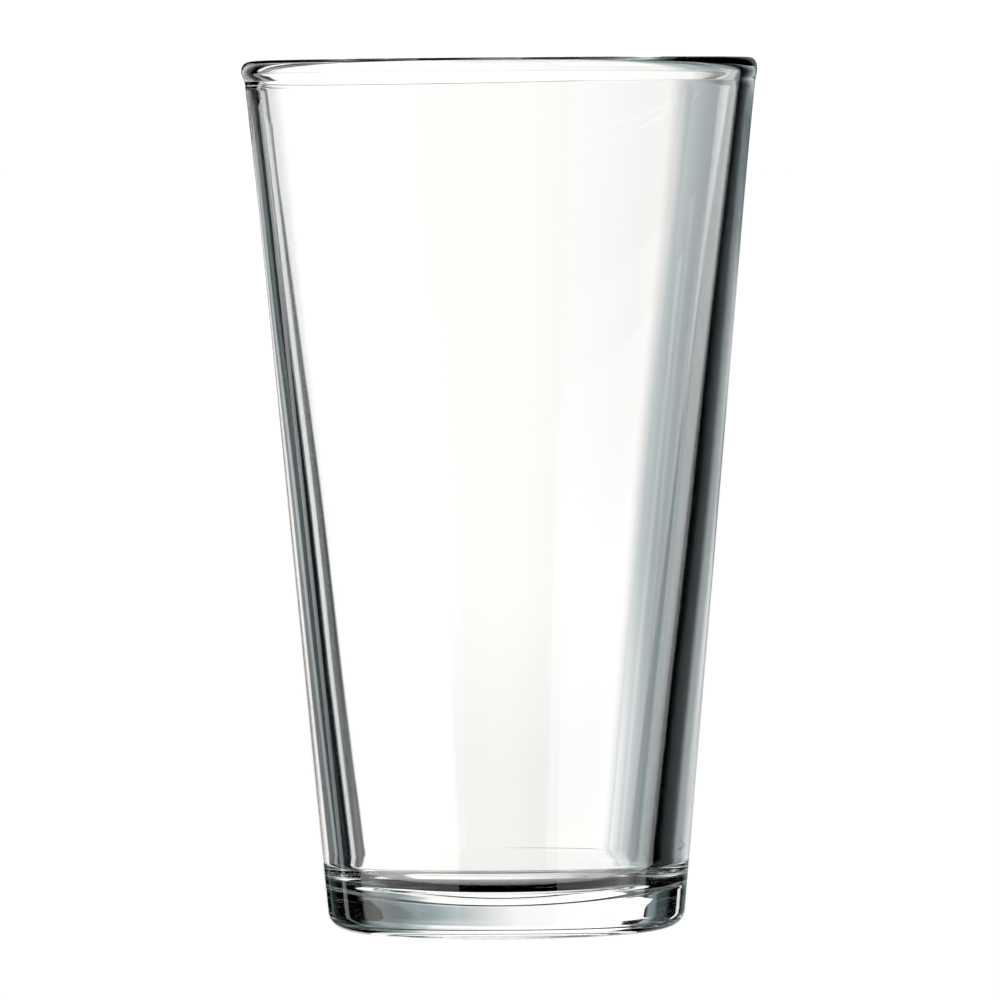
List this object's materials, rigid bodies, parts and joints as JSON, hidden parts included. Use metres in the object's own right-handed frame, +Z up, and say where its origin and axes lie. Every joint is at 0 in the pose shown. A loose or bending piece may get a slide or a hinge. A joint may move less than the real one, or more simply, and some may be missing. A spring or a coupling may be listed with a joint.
{
  "type": "pint glass",
  "caption": "Conical clear-glass tumbler, wider at its beaded rim than at its thick solid base, for serving beer and cold drinks or shaking cocktails.",
  "frame": {"origin": "centre of the foot, on the surface that the glass stands on", "axes": "+Z up along the axis of the glass, towards the rim; the glass looks the same from every side, so X and Y are any two horizontal directions"},
  "size_m": [0.0888, 0.0888, 0.1492],
  "materials": {
    "clear_glass": "polished, clear soda-lime glass with a very slight grey-green tint"
  },
  "bodies": {
    "root": {"tumbler": "clear_glass"}
  },
  "joints": []
}
